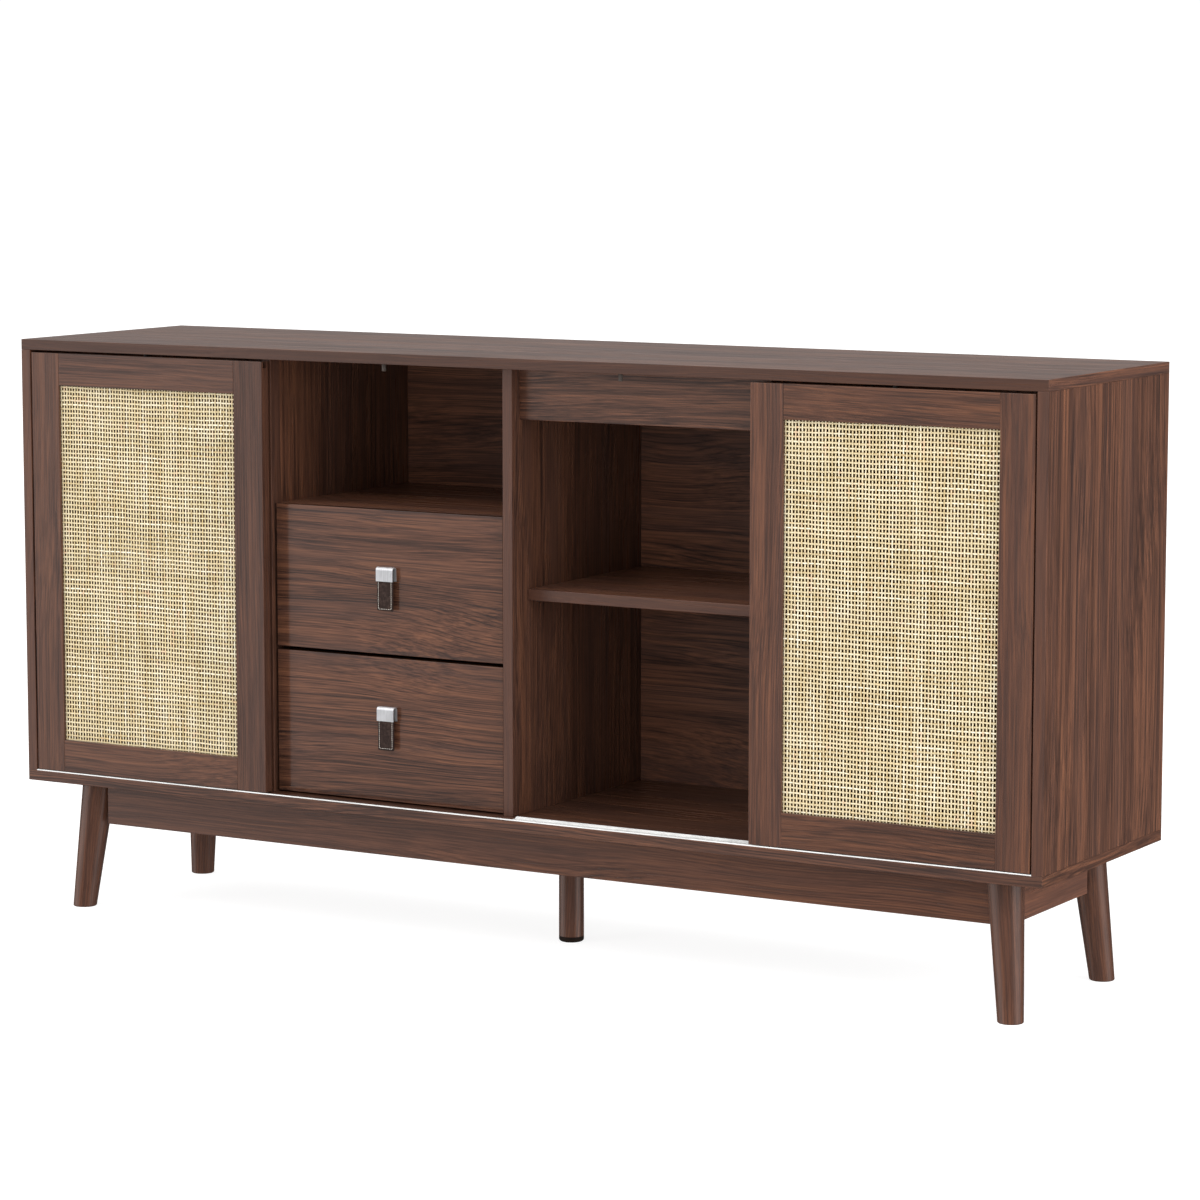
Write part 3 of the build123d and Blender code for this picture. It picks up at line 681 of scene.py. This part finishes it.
LEATHER = leather("leather_dark")
THREAD = thread("thread_pale")
for level in ("upper", "lower"):
    tab_node = f"drawer_{level}_handle_tab"
    tab_low, tab_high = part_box(tab_node)
    strap = leather_strap(f"drawer_{level}_leather_strap", tab_low, tab_high)
    thread_piece = stitching(f"drawer_{level}_strap_stitches", tab_low, tab_high)
    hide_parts(tab_node)
    for piece in (strap, thread_piece):
        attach(piece, f"tab_{level}")


# ---- camera -------------------------------------------------------------------------------
def aim(azimuth, elevation):
    """Unit vector towards a camera or light. Azimuth 0 is in front of the object, 90 to its right."""
    az, el = math.radians(azimuth), math.radians(elevation)
    return (math.sin(az) * math.cos(el), -math.cos(az) * math.cos(el), math.sin(el))


def place_camera():
    low, high = Vector(CAD_BOX[0]), Vector(CAD_BOX[1])
    target = (low + high) / 2 + Vector((TARGET_RIGHT, 0, TARGET_UP))
    away = Vector(aim(CAMERA_AZIMUTH, CAMERA_ELEVATION))
    data = bpy.data.cameras.new("camera")
    data.lens = CAMERA_LENS
    data.sensor_width = SENSOR_WIDTH
    camera = bpy.data.objects.new("camera", data)
    bpy.context.scene.collection.objects.link(camera)
    camera.location = target + away * CAMERA_DISTANCE
    camera.rotation_euler = (-away).to_track_quat("-Z", "Y").to_euler()
    bpy.context.scene.camera = camera


# ---- floor and light ----------------------------------------------------------------------
FLOOR_REACH = 40.0
FLOOR_GLOW = 0.86
FLOOR_ALBEDO = 0.34
BACKDROP_GLOW = 1.05
WHITE = (1.0, 1.0, 1.0, 1.0)


def make_floor():
    """Pale matt floor with a glow of its own, so that it is nearly white and keeps a faint shadow."""
    reach = FLOOR_REACH
    corners = [(-reach, -reach, 0), (reach, -reach, 0), (reach, reach, 0), (-reach, reach, 0)]
    m = material_nodes("floor_pale")
    floor_material = m.surface(
        Base_Color=(FLOOR_ALBEDO, FLOOR_ALBEDO, FLOOR_ALBEDO, 1.0), Roughness=1.0, Specular_IOR_Level=0.0,
        Emission_Color=WHITE, Emission_Strength=FLOOR_GLOW,
    )
    floor = mesh_object("floor", corners, [(0, 1, 2, 3)], floor_material)
    floor.visible_glossy = False


# azimuth, elevation, inner and outer angle of the soft edge, brightness
SOFT_LIGHTS = [
    (-60.0, 12.0, 20.0, 45.0, 1.05),
    (95.0, 12.0, 20.0, 42.0, 1.3),
    (0.0, 78.0, 26.0, 60.0, 2.0),
    (-20.0, 36.0, 12.0, 36.0, 0.6),
    (-150.0, 12.0, 14.0, 40.0, 0.27),
]
ROOM_GLOW = 0.08

# name, azimuth, elevation, distance, size and watts of the lamps that only fill
FILL_LAMPS = [
    ("front_left_fill", -40.0, 9.0, 6.0, 2.2, 84.0),
    ("front_right_fill", 24.0, 9.0, 6.0, 3.2, 80.0),
    ("side_fill", 78.0, 14.0, 6.0, 4.0, 260.0),
]


def make_world():
    """Soft lights in the sky that light the object, and plain white where the camera sees the sky."""
    world = bpy.data.worlds.new("studio")
    bpy.context.scene.world = world
    m = Nodes(world)
    towards = m.put("ShaderNodeTexCoord").outputs["Generated"]
    total = ROOM_GLOW
    for azimuth, elevation, inner, outer, brightness in SOFT_LIGHTS:
        nearness = m.dot(towards, aim(azimuth, elevation))
        rim, core = math.cos(math.radians(outer)), math.cos(math.radians(inner))
        glow = m.remap(nearness, rim, core, 0.0, brightness)
        total = m.math("ADD", glow, total)
    studio = m.put("ShaderNodeBackground", {"Color": WHITE, "Strength": total})
    white = m.put("ShaderNodeBackground", {"Color": WHITE, "Strength": BACKDROP_GLOW})
    seen = m.put("ShaderNodeLightPath").outputs["Is Camera Ray"]
    both = m.put("ShaderNodeMixShader", {0: seen, 1: studio.outputs[0], 2: white.outputs[0]})
    m.put("ShaderNodeOutputWorld", {"Surface": both.outputs[0]})


def make_lamps():
    """Large soft lights that fill the open bays and the side, and give no gloss."""
    middle = (Vector(CAD_BOX[0]) + Vector(CAD_BOX[1])) / 2
    for name, azimuth, elevation, distance, size, watts in FILL_LAMPS:
        data = bpy.data.lights.new(name, "AREA")
        data.shape = "SQUARE"
        data.size = size
        data.energy = watts
        light = bpy.data.objects.new(name, data)
        bpy.context.scene.collection.objects.link(light)
        away = Vector(aim(azimuth, elevation))
        light.location = middle + away * distance
        light.rotation_euler = (-away).to_track_quat("-Z", "Y").to_euler()
        light.visible_glossy = False


place_camera()
make_lamps()
make_floor()
make_world()
bpy.context.scene.view_settings.view_transform = "Standard"
